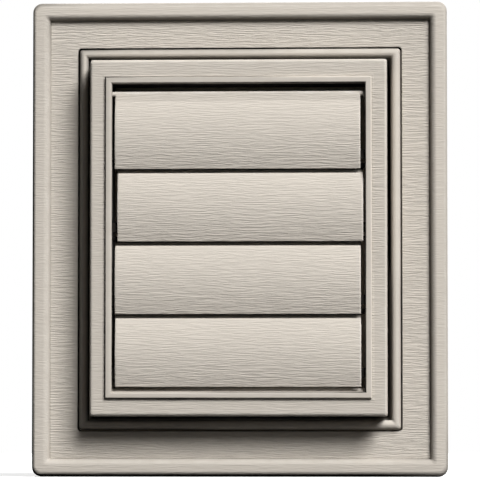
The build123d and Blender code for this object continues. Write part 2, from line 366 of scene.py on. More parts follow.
def softenSection(rails, steps=5):
    dense = []
    for index, here in enumerate(rails):
        before, after = here["paintedShade"]
        if not here["soft"]:
            dense.append((here["at"], here["grain"], here["wearAndGlint"], before, here["lean"]))
            continue
        ends = []
        for other in (rails[index - 1], rails[(index + 1) % len(rails)]):
            gap = other["at"] - here["at"]
            span = math.hypot((abs(gap[0]) + abs(gap[1])) / 2, gap[2])
            ends.append(here["at"] + gap * min(here["soft"] / span, 0.95))
        for step in range(steps + 1):
            share = step / steps
            weights = ((1 - share) ** 2, 2 * share * (1 - share) * math.sqrt(0.5), share**2)
            point = (ends[0] * weights[0] + here["at"] * weights[1] + ends[1] * weights[2]) / sum(weights)
            rounded = max(1 - abs(2 * share - 1), here["wearAndGlint"])
            sunk = before * (1 - share) ** here["fade"] + after * share ** here["fade"]
            dense.append((point, here["grain"] * 0.4, rounded, sunk, here["lean"]))
    return dense


def between(start, end, steps):
    return [start.lerp(end, step / steps) for step in range(1, steps)]


def railLoop(at, arcSteps, sideSteps):
    halfX, halfZ, depth, corner, sill = at
    points = []
    for quarter, (signX, signZ) in enumerate(((1, 1), (-1, 1), (-1, -1), (1, -1))):
        arc = []
        for step in range(arcSteps + 1):
            angle = (quarter + step / arcSteps) * math.pi / 2
            x = signX * (halfX - corner) + corner * math.cos(angle)
            z = signZ * (halfZ - corner) + corner * math.sin(angle)
            arc.append(Vector((x, -depth, z - (sill if signZ < 0 else 0))))
        if points:
            points += between(points[-1], arc[0], sideSteps)
        points += arc
    return points + between(points[-1], points[0], sideSteps)


def loftFrame(name, rails, arcSteps=6, sideSteps=14):
    dense = softenSection(rails)
    bm = bmesh.new()
    emboss = bm.verts.layers.float.new("emboss")
    edge = bm.verts.layers.float.new("edge")
    paintedShade = bm.verts.layers.float.new("paintedShade")
    loops = []
    for at, grain, rounded, sunk, lean in dense:
        loop = []
        for point in railLoop(at, arcSteps, sideSteps):
            vert = bm.verts.new(point * mm)
            # The painted shade fades on the side that faces the key light, as far as lean says
            tilt = (point.x / at[0] + point.z / at[1]) * math.copysign(2.0, lean)
            vert[emboss] = grain
            vert[edge] = rounded
            vert[paintedShade] = sunk * (1 - abs(lean) * (1 - min(max(0.5 + tilt, 0), 1)))
            loop.append(vert)
        loops.append(loop)
    count = len(loops[0])
    for index, loop in enumerate(loops):
        other = loops[(index + 1) % len(loops)]
        for step in range(count):
            bm.faces.new((loop[step], loop[(step + 1) % count], other[(step + 1) % count], other[step]))
    bmesh.ops.remove_doubles(bm, verts=bm.verts, dist=0.002 * mm)
    bmesh.ops.recalc_face_normals(bm, faces=bm.faces)
    mesh = bpy.data.meshes.new(name)
    bm.to_mesh(mesh)
    bm.free()
    piece = bpy.data.objects.new(name, mesh)
    scene.collection.objects.link(piece)
    return piece


def runNodes(piece, tree, values):
    # Evaluates a Geometry Nodes tree on the piece and keeps the result as its mesh
    modifier = piece.modifiers.new(tree.name, "NODES")
    modifier.node_group = tree
    for item in tree.interface.items_tree:
        if item.item_type == "SOCKET" and item.in_out == "INPUT" and item.name in values:
            modifier[item.identifier] = values[item.name]
    depsgraph = bpy.context.evaluated_depsgraph_get()
    mesh = bpy.data.meshes.new_from_object(
        piece.evaluated_get(depsgraph), preserve_all_data_layers=True, depsgraph=depsgraph
    )
    piece.modifiers.remove(modifier)
    piece.data = mesh


def finishPiece(piece, node, body, sharpAngle=36):
    bm = bmesh.new()
    bm.from_mesh(piece.data)
    bmesh.ops.remove_doubles(bm, verts=bm.verts, dist=0.002 * mm)
    bmesh.ops.recalc_face_normals(bm, faces=bm.faces)
    bm.to_mesh(piece.data)
    bm.free()
    piece.data.shade_smooth()
    piece.data.set_sharp_from_angle(angle=math.radians(sharpAngle))
    even = piece.modifiers.new("evenShading", "WEIGHTED_NORMAL")
    even.keep_sharp = True
    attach(piece, body)
    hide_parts(node)
    print(piece.name, "has", len(piece.data.polygons), "faces")


# Trim ring: rounded rim, ovolo, flat panel and the leg that clips over the hood
ringSizes = {"halfX": 88.9, "halfZ": 101.6, "rim": 7.5, "band": 19.5, "wall": 2.0, "ovolo": 2.8}


def buildTrimRing():
    halfX, halfZ = ringSizes["halfX"], ringSizes["halfZ"]
    rim, band, wall = ringSizes["rim"], ringSizes["band"], ringSizes["wall"]
    back, panel, rimTop, legBack = 5.0, 16.5, 19.5, 9.0
    hollow = rim - ringSizes["ovolo"]
    line, clear = 0.1, 0.4  # where the shade painted beside the rim's foot starts to fade, and ends
    browX, browZ, browDrop, seamCorner = 0.9, 1.6, 1.25, 1.4
    slope = 0.35  # how much lower the rim is at its outer edge than at the ovolo
    shade = 0.9  # how far the shade painted on the outer edge reaches down the wall
    # Shade is painted on the rim's outer edge at the lower left, at the rim's foot at the upper right, and
    # in the seam by the leg
    rails = [
        rail(halfX, halfZ, back, corner=4.0, soft=0.4, grain=0.3),
        rail(halfX, halfZ, rimTop - browDrop - shade, corner=4.0, grain=0.5),
        rail(
            halfX, halfZ, rimTop - browDrop,
            corner=4.0, soft=0.5, grain=0.8, paintedShade=(0.3, 1.0), lean=-0.75, fade=0.4,
        ),
        rail(
            halfX - browX, halfZ - browZ, rimTop - slope,
            corner=3.0, soft=0.7, grain=0.8, paintedShade=(1.0, 0.0), lean=-0.75, fade=1.2,
        ),
        rail(
            halfX - rim, halfZ - rim, rimTop,
            corner=0.5, soft=ringSizes["ovolo"], grain=0.8, paintedShade=(0.0, 1.0), lean=0.7, fade=1.0,
        ),
        rail(halfX - rim, halfZ - rim, panel, corner=0.5, soft=0.15, paintedShade=1.0, lean=0.5),
        rail(halfX - rim - line, halfZ - rim - line, panel, corner=0.5, paintedShade=0.9, lean=0.5),
        rail(halfX - rim - clear, halfZ - rim - clear, panel, corner=0.5),
        rail(halfX - band + clear, halfZ - band + clear, panel, corner=seamCorner),
        rail(halfX - band, halfZ - band, panel, corner=seamCorner, soft=0.5, paintedShade=(0.0, 1.0), fade=1.2),
        rail(
            halfX - band, halfZ - band, legBack,
            corner=seamCorner, soft=0.2, grain=0.0, paintedShade=(1.0, 0.5),
        ),
        rail(halfX - band + wall, halfZ - band + wall, legBack, corner=0.4, soft=0.2, grain=0.0),
        rail(halfX - band + wall, halfZ - band + wall, panel - wall, corner=0.4, soft=0.3, grain=0.0),
        rail(halfX - hollow, halfZ - hollow, panel - wall, corner=0.4, soft=0.3, grain=0.0),
        rail(halfX - hollow, halfZ - hollow, rimTop - wall, corner=0.4, soft=0.3, grain=0.0),
        rail(halfX - wall, halfZ - wall, rimTop - wall, corner=2.0, soft=0.3, grain=0.0),
        rail(halfX - wall, halfZ - wall, back, corner=2.0, soft=0.3, grain=0.0),
    ]
    ring = loftFrame("trimRing", rails)
    ring.data.materials.append(ringPlastic)
    finishPiece(ring, "trim_ring", "vent_body")


buildTrimRing()

# Louvre hood: bead, groove, box, front frame, raised lip and the throat behind it
hoodSizes = {
    "halfX": 63.2,
    "halfZ": 75.9,
    "front": 30.0,
    "wall": 2.0,
    "bandX": 6.6,
    "bandZ": 7.55,
    "lip": 2.8,
    "lipRise": 1.2,
    "groove": 1.7,
    "bead": 4.0,
    "throatWall": 2.5,
    "throatBack": 12.0,
    "sill": 0.6,
}
ribSizes = {"front": 28.3, "rise": 1.5, "slope": 1.8, "depth": 4.8}
louvreSizes = {
    "count": 4,
    "pitch": 30.9,
    "topHeight": 61.35,
    "pinDepth": 27.5,
    "pinRadius": 1.1,
    "pinClearance": 0.06,
    "pinReach": 3.0,
    "halfWidth": 52.25,
    "drop": 32.15,
    "crown": 2.0,
    "thickness": 1.0,
    "footFront": 2.45,
    "shoulderFront": 1.3,
    "shoulderDrop": 3.2,
    "neckDrops": (0.2, 2.6, 2.6, 2.6),
    "backDrop": 0.6,
    "waviness": 0.18,
    "neckFronts": (1.12, -0.25, -0.25, -0.25),
    # how strongly shade is painted in each slat's neck, under the slat above
    "neckPaintedShade": (0.0, 1.0, 1.0, 1.0),
    "darkUntil": 0.5,  # shares of the neck's drop between which its painted shade fades
    "shadeEnd": 1.15,
    "shifts": (-0.35, 0.8, -0.25, -0.15),
}
# the last value sets how dark shade is painted in the throat round the stops
stopSizes = {"reach": 2.4, "length": 4.0, "height": 4.0, "rise": 6.0, "clearance": 0.3, "paintedDark": 0.97}


def buildPinSeats():
    # Joins the small stops to the throat and drills the pin bores, one set for each louvre
    tree, given, result = newTree(
        "pinSeats",
        "GeometryNodeTree",
        [
            ("Geometry", "NodeSocketGeometry", None),
            ("Count", "NodeSocketInt", 4),
            ("Lowest Pin", "NodeSocketVector", None),
            ("Pitch", "NodeSocketFloat", 0.03),
            ("Bore Radius", "NodeSocketFloat", 0.00136),
            ("Bore Length", "NodeSocketFloat", 0.11),
            ("Stop Size", "NodeSocketVector", None),
            ("Stop Place", "NodeSocketVector", None),
            ("Throat Painted Shade", "NodeSocketFloat", 0.9),
            ("Throat Half Width", "NodeSocketFloat", 0.05),
            ("Dark Depth", "NodeSocketFloat", 0.028),
            ("Dark Floor", "NodeSocketFloat", -0.06),
            ("Dark Roof", "NodeSocketFloat", 0.06),
            ("Rib Size", "NodeSocketVector", None),
            ("Rib Place", "NodeSocketVector", None),
            ("Rib Slope", "NodeSocketFloat", 0.002),
            ("Material", "NodeSocketMaterial", None),
        ],
        [("Geometry", "NodeSocketGeometry")],
    )
    step = xyz(tree, 0.0, 0.0, given["Pitch"])
    pins = addNode(
        tree,
        "GeometryNodeMeshLine",
        {"Count": given["Count"], "Start Location": given["Lowest Pin"], "Offset": step},
    )
    bore = addNode(
        tree,
        "GeometryNodeMeshCylinder",
        {"Vertices": 28, "Radius": given["Bore Radius"], "Depth": given["Bore Length"]},
    )
    bores = addNode(
        tree,
        "GeometryNodeInstanceOnPoints",
        {
            "Points": pins.outputs[0],
            "Instance": bore.outputs[0],
            "Rotation": (0.0, math.pi / 2, 0.0),
        },
    )
    block = addNode(tree, "GeometryNodeMeshCube", {"Size": given["Stop Size"]})
    mirrored = addNode(
        tree,
        "ShaderNodeVectorMath",
        {0: given["Stop Place"], 1: (-1.0, 1.0, 1.0)},
        operation="MULTIPLY",
    )
    pair = tree.nodes.new("GeometryNodeJoinGeometry")
    for place in (given["Stop Place"], mirrored.outputs[0]):
        moved = addNode(tree, "GeometryNodeTransform", {"Geometry": block.outputs[0], "Translation": place})
        tree.links.new(moved.outputs[0], pair.inputs[0])
    stops = addNode(
        tree, "GeometryNodeInstanceOnPoints", {"Points": pins.outputs[0], "Instance": pair.outputs[0]}
    )
    stopMesh = addNode(tree, "GeometryNodeRealizeInstances", {0: stops.outputs[0]})
    boreMesh = addNode(tree, "GeometryNodeRealizeInstances", {0: bores.outputs[0]})
    bar = addNode(tree, "GeometryNodeMeshCube", {"Size": given["Rib Size"]})
    corner = axes(tree, addNode(tree, "GeometryNodeInputPosition").outputs[0])
    isFront = calc(tree, "LESS_THAN", corner[1], 0.0)
    upperFront = calc(tree, "MULTIPLY", isFront, calc(tree, "GREATER_THAN", corner[2], 0.0))
    sloped = addNode(
        tree,
        "GeometryNodeSetPosition",
        {
            "Geometry": bar.outputs[0],
            "Offset": xyz(tree, 0.0, calc(tree, "MULTIPLY", upperFront, given["Rib Slope"]), 0.0),
        },
    )
    rib = addNode(
        tree, "GeometryNodeTransform", {"Geometry": sloped.outputs[0], "Translation": given["Rib Place"]}
    )
    joined = addNode(tree, "GeometryNodeMeshBoolean", operation="UNION", solver="EXACT")
    for part in (given["Geometry"], stopMesh.outputs[0], rib.outputs[0]):
        tree.links.new(part, joined.inputs["Mesh 2"])
    drilled = addNode(tree, "GeometryNodeMeshBoolean", operation="DIFFERENCE", solver="EXACT")
    tree.links.new(joined.outputs[0], drilled.inputs["Mesh 1"])
    tree.links.new(boreMesh.outputs[0], drilled.inputs["Mesh 2"])
    # The throat's walls, the stops and the bore edges are painted dark as shade
    sideways = calc(tree, "LESS_THAN", calc(tree, "ABSOLUTE", corner[0]), given["Throat Half Width"])
    behind = calc(tree, "GREATER_THAN", calc(tree, "ADD", corner[1], given["Dark Depth"]), 0.0)
    above = calc(tree, "GREATER_THAN", corner[2], given["Dark Floor"])
    under = calc(tree, "LESS_THAN", corner[2], given["Dark Roof"])
    level = calc(tree, "MULTIPLY", above, under)
    inside = calc(tree, "MULTIPLY", calc(tree, "MULTIPLY", sideways, behind), level)
    dark = calc(tree, "MULTIPLY", inside, given["Throat Painted Shade"])
    deepest = calc(tree, "MAXIMUM", readMark(tree, "paintedShade"), dark)
    darkPainted = storeMark(tree, drilled.outputs[0], "paintedShade", deepest)
    closeTree(tree, darkPainted, given["Material"], result)
    return tree


def slatBack(drop):
    # The bow's back face, forward of the pin's axis, at a drop below the pin
    start = louvreSizes["shoulderDrop"] + louvreSizes["backDrop"]
    share = (drop - start) / (louvreSizes["drop"] - start)
    straight = louvreSizes["shoulderFront"] * (1 - share) + louvreSizes["footFront"] * share
    return straight + 4 * louvreSizes["crown"] * share * (1 - share) - louvreSizes["thickness"]


def buildLouvreHood():
    sizes = hoodSizes
    boxX, boxZ, front, wall = sizes["halfX"], sizes["halfZ"], sizes["front"], sizes["wall"]
    moatX, moatZ = boxX + sizes["groove"], boxZ + sizes["groove"]
    skirtX, skirtZ = moatX + sizes["bead"], moatZ + sizes["bead"]
    lipX, lipZ = boxX - sizes["bandX"], boxZ - sizes["bandZ"]
    openX, openZ = lipX - sizes["lip"], lipZ - sizes["lip"]
    throatX, throatZ = openX + sizes["throatWall"], openZ + sizes["throatWall"]
    skirtBack, beadTop, floor = 8.0, 18.6, 13.5
    lipTop, throatBack = front + sizes["lipRise"], sizes["throatBack"]
    beadRound = 0.48 * sizes["bead"]
    near, deep = 1.1, 3.0  # how far painted shade reaches beside the lip, and where the throat is painted dark
    fall = 0.15  # how far behind the eased edge the throat's straight wall starts
    dim, pale = 4.0, 8.0  # how far up the box's wall the painted shade thins, and nearly ends
    headEase, sideEase = 0.45, 0.4  # how far the opening's upper and side edges are eased
    # Shade is painted in the seam and groove round the box, on the bead, at the lip's foot and through the
    # throat; lean keeps it to the sides turned from the key light
    rails = [
        rail(skirtX, skirtZ, skirtBack, corner=1.2, soft=0.3, grain=0.0, paintedShade=1.0),
        rail(
            skirtX, skirtZ, beadTop,
            corner=1.2, soft=beadRound, grain=0.35, paintedShade=(1.0, 0.0), lean=-0.7, fade=1.3,
        ),
        rail(
            moatX, moatZ, beadTop,
            corner=0.4, soft=beadRound, grain=0.35, paintedShade=(0.0, 1.0), lean=-0.85, fade=0.8,
        ),
        rail(moatX, moatZ, floor, corner=0.4, soft=0.3, grain=0.2, paintedShade=1.0),
        rail(boxX, boxZ, floor, corner=1.0, soft=0.3, grain=0.2, paintedShade=1.0),
        rail(boxX, boxZ, floor + dim, corner=1.0, grain=0.2, paintedShade=0.6),
        rail(boxX, boxZ, floor + pale, corner=1.0, grain=0.2, paintedShade=0.1),
        rail(boxX, boxZ, front, corner=1.0, soft=1.3),
        rail(lipX + near, lipZ + near, front),
        rail(lipX + near / 2, lipZ + near / 2, front, paintedShade=1.0, lean=-1.0),
        rail(lipX, lipZ, front, soft=0.12, paintedShade=1.0, lean=-1.0),
        rail(
            lipX, lipZ, lipTop,
            corner=0.25, soft=0.5, grain=0.25, paintedShade=(1.0, 0.0),
            lean=-1.0, fade=1.2, wearAndGlint=0.4,
        ),
        rail(
            openX + sideEase, openZ + headEase, lipTop,
            corner=0.25, soft=0.3, grain=0.25, paintedShade=(0.0, 1.0),
            lean=0.7, sill=sizes["sill"] - headEase, fade=0.8, wearAndGlint=0.3,
        ),
        rail(openX, openZ, lipTop - sizes["sill"] - fall, soft=0.12, grain=0.2, paintedShade=1.0, lean=0.35),
        rail(openX, openZ, lipTop - deep, grain=0.2, paintedShade=1.0, lean=0.15),
        rail(openX, openZ, throatBack, soft=0.3, grain=0.0, paintedShade=(1.0, 0.3), lean=0.15),
        rail(throatX, throatZ, throatBack, soft=0.3, grain=0.0),
        rail(throatX, throatZ, front - wall, soft=0.3, grain=0.0),
        rail(boxX - wall, boxZ - wall, front - wall, corner=0.3, soft=0.3, grain=0.0),
        rail(boxX - wall, boxZ - wall, floor - wall, corner=0.3, soft=0.3, grain=0.0),
        rail(skirtX - wall, skirtZ - wall, floor - wall, corner=0.4, soft=0.3, grain=0.0),
        rail(skirtX - wall, skirtZ - wall, skirtBack, corner=0.4, soft=0.3, grain=0.0),
    ]
    hood = loftFrame("louvreHood", rails)
    lowest = louvreSizes["topHeight"] - (louvreSizes["count"] - 1) * louvreSizes["pitch"]
    pinDepth = louvreSizes["pinDepth"]
    sink = 0.4  # how far each stop and the sill's rib run into the throat's wall
    touch = 0.1  # what still counts as lying on the throat's wall
    middle = louvreSizes["drop"] - stopSizes["rise"]
    slatAtStop = min(slatBack(middle + way * stopSizes["height"] / 2) for way in (-1, 1))
    stopFront = slatAtStop - stopSizes["clearance"]
    stopPlace = (
        openX - (stopSizes["reach"] - sink) / 2,
        stopSizes["length"] / 2 - stopFront,
        -middle,
    )
    ribHeight = ribSizes["rise"] + sink
    ribSlope = ribSizes["slope"] * ribHeight / ribSizes["rise"]
    ribDepth = ribSizes["depth"] + ribSlope - ribSizes["slope"]
    ribFront = ribSizes["front"] + ribSlope - ribSizes["slope"]
    ribPlace = (0, ribDepth / 2 - ribFront, ribHeight / 2 - sink - openZ)
    runNodes(
        hood,
        buildPinSeats(),
        {
            "Count": louvreSizes["count"],
            "Lowest Pin": Vector((0, -pinDepth, lowest)) * mm,
            "Pitch": louvreSizes["pitch"] * mm,
            "Bore Radius": (louvreSizes["pinRadius"] + louvreSizes["pinClearance"]) * mm,
            "Bore Length": 2 * (throatX + sink) * mm,
            "Stop Size": Vector((stopSizes["reach"] + sink, stopSizes["length"], stopSizes["height"])) * mm,
            "Stop Place": Vector(stopPlace) * mm,
            "Throat Painted Shade": stopSizes["paintedDark"],
            "Throat Half Width": (openX + touch) * mm,
            "Dark Depth": (pinDepth + stopFront + touch) * mm,
            "Dark Floor": (ribSizes["rise"] + touch - openZ) * mm,
            "Dark Roof": (openZ + touch) * mm,
            "Rib Size": Vector((2 * (openX + sink), ribDepth, ribHeight)) * mm,
            "Rib Place": Vector(ribPlace) * mm,
            "Rib Slope": ribSlope * mm,
            "Material": hoodPlastic,
        },
    )
    finishPiece(hood, "louvre_hood", "vent_body")


buildLouvreHood()


# Louvres: a bowed slat swept along X, with a rod and end pins along its top
def buildBowedSlat():
    tree, given, result = newTree(
        "bowedSlat",
        "GeometryNodeTree",
        [
            ("Geometry", "NodeSocketGeometry", None),
            ("Half Width", "NodeSocketFloat", 0.05),
            ("Drop", "NodeSocketFloat", 0.03),
            ("Crown", "NodeSocketFloat", 0.002),
            ("Thickness", "NodeSocketFloat", 0.001),
            ("Foot Front", "NodeSocketFloat", 0.0025),
            ("Shoulder Front", "NodeSocketFloat", 0.0013),
            ("Shoulder Drop", "NodeSocketFloat", 0.0032),
            ("Neck Front", "NodeSocketFloat", 0.0),
            ("Neck Drop", "NodeSocketFloat", 0.0026),
            ("Back Drop", "NodeSocketFloat", 0.0006),
            ("Neck Painted Shade", "NodeSocketFloat", 0.0),
            ("Top Grain", "NodeSocketFloat", 0.6),
            ("Foot Grain", "NodeSocketFloat", 1.25),
            ("Pin Depth", "NodeSocketFloat", 0.026),
            ("Pin Height", "NodeSocketFloat", 0.0),
            ("Pin Radius", "NodeSocketFloat", 0.0013),
            ("Pin Reach", "NodeSocketFloat", 0.003),
            ("Shift", "NodeSocketFloat", 0.0),
            ("Waviness", "NodeSocketFloat", 0.0002),
            ("Front Fullness", "NodeSocketFloat", 8.0),
            ("Back Fullness", "NodeSocketFloat", 3.3),
            ("End Round", "NodeSocketFloat", 0.0006),
            ("Seed", "NodeSocketFloat", 0.0),
            ("Material", "NodeSocketMaterial", None),
        ],
        [("Geometry", "NodeSocketGeometry")],
    )
    factor = addNode(tree, "GeometryNodeSplineParameter").outputs["Factor"]
    around = addNode(tree, "GeometryNodeCurvePrimitiveCircle", {"Resolution": 160, "Radius": 0.001})
    section = storeMark(tree, around.outputs[0], "around", factor)
    line = addNode(tree, "GeometryNodeCurvePrimitiveLine", {"Start": (0, 0, 0), "End": (1, 0, 0)})
    pathLine = addNode(tree, "GeometryNodeResampleCurve", {"Curve": line.outputs[0], "Count": 72})
    path = storeMark(tree, pathLine.outputs[0], "along", factor)
    swept = addNode(
        tree,
        "GeometryNodeCurveToMesh",
        {"Curve": path, "Profile Curve": section, "Fill Caps": True},
    )
    # Where round the section, and where along the slat
    reach = readMark(tree, "along")
    angle = calc(tree, "MULTIPLY", readMark(tree, "around"), 2 * math.pi)
    down = calc(tree, "MULTIPLY", calc(tree, "SUBTRACT", 1.0, calc(tree, "COSINE", angle)), 0.5)
    ahead = calc(tree, "SINE", angle)
    behind = calc(tree, "MULTIPLY", ahead, -1.0)
    ahead = calc(tree, "MULTIPLY", ahead, given["Front Fullness"], clamp=True)
    behind = calc(tree, "MULTIPLY", behind, given["Back Fullness"], clamp=True)
    side = calc(tree, "MULTIPLY", calc(tree, "SUBTRACT", ahead, behind), 0.5)
    spread = calc(tree, "SINE", calc(tree, "MULTIPLY_ADD", reach, math.pi, -math.pi / 2))
    x = calc(tree, "MULTIPLY", spread, given["Half Width"])
    inner = calc(tree, "SUBTRACT", given["Half Width"], given["End Round"])
    beyond = calc(tree, "SUBTRACT", calc(tree, "ABSOLUTE", x), inner)
    past = calc(tree, "MAXIMUM", calc(tree, "DIVIDE", beyond, given["End Round"]), 0.0)
    thin = calc(tree, "SQRT", calc(tree, "MULTIPLY_ADD", calc(tree, "MULTIPLY", past, past), -0.75, 1.0))
    acrossWave, downWave = calc(tree, "MULTIPLY", x, 26.0), calc(tree, "MULTIPLY", down, 0.8)
    ripple = addNode(
        tree,
        "ShaderNodeTexNoise",
        {"Vector": xyz(tree, acrossWave, given["Seed"], downWave), "Scale": 1.0, "Detail": 2.0},
    )
    wave = calc(tree, "MULTIPLY", calc(tree, "SUBTRACT", ripple.outputs[0], 0.5), given["Waviness"])
    fall = calc(tree, "MULTIPLY", down, given["Drop"])
    bowDrop = calc(tree, "SUBTRACT", given["Drop"], given["Shoulder Drop"])
    bowRise = calc(tree, "SUBTRACT", given["Foot Front"], given["Shoulder Front"])

    def sectionFront(drop):
        # Neck, sloping ledge to the shoulder, then the bow down to the foot
        neck, shoulder = given["Neck Drop"], given["Shoulder Drop"]
        ledge = remap(tree, drop, neck, shoulder, given["Neck Front"], given["Shoulder Front"])
        share = calc(tree, "DIVIDE", calc(tree, "SUBTRACT", drop, shoulder), bowDrop, clamp=True)
        rising = calc(tree, "MULTIPLY", share, calc(tree, "SUBTRACT", 1.0, share))
        bulge = calc(tree, "MULTIPLY", rising, 4.0)
        bow = calc(tree, "MULTIPLY_ADD", bulge, given["Crown"], calc(tree, "MULTIPLY", share, bowRise))
        return calc(tree, "ADD", ledge, bow)

    front = sectionFront(fall)
    lag = calc(tree, "MULTIPLY", given["Back Drop"], calc(tree, "SUBTRACT", 1.0, down))
    back = calc(tree, "SUBTRACT", sectionFront(calc(tree, "SUBTRACT", fall, lag)), given["Thickness"])
    middle = calc(tree, "MULTIPLY", calc(tree, "ADD", front, back), 0.5)
    apart = calc(tree, "MULTIPLY", calc(tree, "SUBTRACT", front, back), calc(tree, "MULTIPLY", side, thin))
    forward = calc(tree, "ADD", calc(tree, "ADD", middle, apart), wave)
    y = calc(tree, "MULTIPLY", calc(tree, "ADD", given["Pin Depth"], forward), -1.0)
    z = calc(tree, "SUBTRACT", given["Pin Height"], fall)
    shaped = addNode(
        tree,
        "GeometryNodeSetPosition",
        {"Geometry": swept.outputs[0], "Position": xyz(tree, calc(tree, "ADD", x, given["Shift"]), y, z)},
    )
    # Rod and pins
    length = calc(tree, "ADD", given["Half Width"], given["Pin Reach"])
    pinY = calc(tree, "MULTIPLY", given["Pin Depth"], -1.0)
    rodLine = addNode(
        tree,
        "GeometryNodeCurvePrimitiveLine",
        {
            "Start": xyz(tree, calc(tree, "SUBTRACT", given["Shift"], length), pinY, given["Pin Height"]),
            "End": xyz(tree, calc(tree, "ADD", given["Shift"], length), pinY, given["Pin Height"]),
        },
    )
    rodRound = addNode(
        tree, "GeometryNodeCurvePrimitiveCircle", {"Resolution": 28, "Radius": given["Pin Radius"]}
    )
    rod = addNode(
        tree,
        "GeometryNodeCurveToMesh",
        {"Curve": rodLine.outputs[0], "Profile Curve": rodRound.outputs[0], "Fill Caps": True},
    )
    joined = addNode(tree, "GeometryNodeMeshBoolean", operation="UNION", solver="EXACT")
    tree.links.new(shaped.outputs[0], joined.inputs["Mesh 2"])
    tree.links.new(rod.outputs[0], joined.inputs["Mesh 2"])
    # Grain everywhere, pale ends and foot edge that are partly wear and partly a painted highlight, and
    # shade painted in the neck where the slat above shades it
    spot = axes(tree, addNode(tree, "GeometryNodeInputPosition").outputs[0])
    outer = calc(tree, "ABSOLUTE", calc(tree, "SUBTRACT", spot[0], given["Shift"]))
    below = calc(tree, "SUBTRACT", given["Pin Height"], spot[2])
    footStart = calc(tree, "SUBTRACT", given["Drop"], given["End Round"])
    wornAndLit = calc(
        tree,
        "MAXIMUM",
        calc(tree, "DIVIDE", calc(tree, "SUBTRACT", outer, inner), given["End Round"], clamp=True),
        calc(tree, "DIVIDE", calc(tree, "SUBTRACT", below, footStart), given["End Round"], clamp=True),
    )
    deepening = remap(tree, below, 0.0, given["Drop"], given["Top Grain"], given["Foot Grain"])
    darkUntil = calc(tree, "MULTIPLY", given["Neck Drop"], louvreSizes["darkUntil"])
    shadeEnd = calc(tree, "MULTIPLY", given["Neck Drop"], louvreSizes["shadeEnd"])
    neckShade = remap(tree, below, darkUntil, shadeEnd, given["Neck Painted Shade"], 0.0)
    marked = joined.outputs[0]
    for key, value in (("emboss", deepening), ("edge", wornAndLit), ("paintedShade", neckShade)):
        marked = storeMark(tree, marked, key, value)
    closeTree(tree, marked, given["Material"], result)
    return tree


def buildLouvres():
    tree = buildBowedSlat()
    for index in range(louvreSizes["count"]):
        name = f"louvreSlat{index + 1}"
        slat = bpy.data.objects.new(name, bpy.data.meshes.new(name))
        scene.collection.objects.link(slat)
        runNodes(
            slat,
            tree,
            {
                "Half Width": louvreSizes["halfWidth"] * mm,
                "Drop": louvreSizes["drop"] * mm,
                "Crown": louvreSizes["crown"] * mm,
                "Thickness": louvreSizes["thickness"] * mm,
                "Foot Front": louvreSizes["footFront"] * mm,
                "Shoulder Front": louvreSizes["shoulderFront"] * mm,
                "Shoulder Drop": louvreSizes["shoulderDrop"] * mm,
                "Neck Front": louvreSizes["neckFronts"][index] * mm,
                "Neck Drop": louvreSizes["neckDrops"][index] * mm,
                "Back Drop": louvreSizes["backDrop"] * mm,
                "Neck Painted Shade": louvreSizes["neckPaintedShade"][index],
                "Pin Depth": louvreSizes["pinDepth"] * mm,
                "Pin Height": (louvreSizes["topHeight"] - index * louvreSizes["pitch"]) * mm,
                "Pin Radius": louvreSizes["pinRadius"] * mm,
                "Pin Reach": louvreSizes["pinReach"] * mm,
                "Shift": louvreSizes["shifts"][index] * mm,
                "Waviness": louvreSizes["waviness"] * mm,
                "Seed": 3.7 * index,
                "Material": louvrePlastic,
            },
        )
        finishPiece(slat, f"louvre_{index + 1}", f"flap_{index + 1}")


buildLouvres()

# Mounting base: nailing flange, sleeve and round duct collar, with oblong nail slots
baseSizes = {
    "flangeX": 86.0,
    "flangeZ": 98.7,
    "plate": 2.0,
    "sleeveX": 66.6,
    "sleeveZ": 79.3,
    "sleeveTop": 11.5,
    "wall": 2.0,
    "collar": 49.6,
    "collarLength": 44.0,
    "slotLength": 24.0,
    "slotWidth": 5.0,
    "levelSpacing": 88.0,
    "sideSpacing": 100.0,
}


